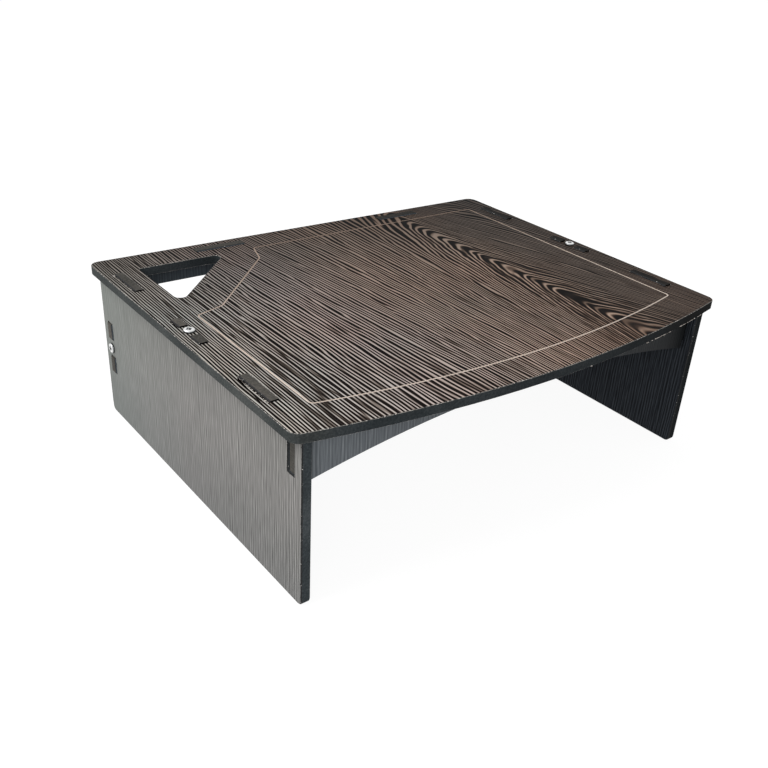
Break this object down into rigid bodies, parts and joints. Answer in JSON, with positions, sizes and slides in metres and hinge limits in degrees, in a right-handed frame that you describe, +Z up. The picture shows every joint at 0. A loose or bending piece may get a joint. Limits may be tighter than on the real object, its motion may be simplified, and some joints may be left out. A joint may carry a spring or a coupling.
{
  "type": "monitor stand",
  "caption": "Flat-pack stand that raises a monitor above a desk, with a bowed top, a corner cable hole, an arched front apron and open storage space below.",
  "frame": {"origin": "on the floor, under the middle of the top's width and of its depth, bow included", "axes": "+X along the width, to the right as seen from the front; +Y from the bowed front to the rear; +Z up"},
  "size_m": [0.45, 0.365, 0.1522],
  "materials": {
    "top_board": "matt dark wenge faces with charcoal cut edges",
    "side_board": "matt grey wenge faces with charcoal cut edges",
    "cross_board": "matt grey wenge faces with charcoal cut edges",
    "screw_steel": "bright zinc plated"
  },
  "bodies": {
    "root": {"top_panel": "top_board", "side_panel_left": "side_board", "side_panel_right": "side_board", "rear_panel": "cross_board", "front_apron": "cross_board", "top_screw_left": "screw_steel", "top_screw_right": "screw_steel", "rear_screw_left": "screw_steel", "rear_screw_right": "screw_steel"}
  },
  "joints": []
}
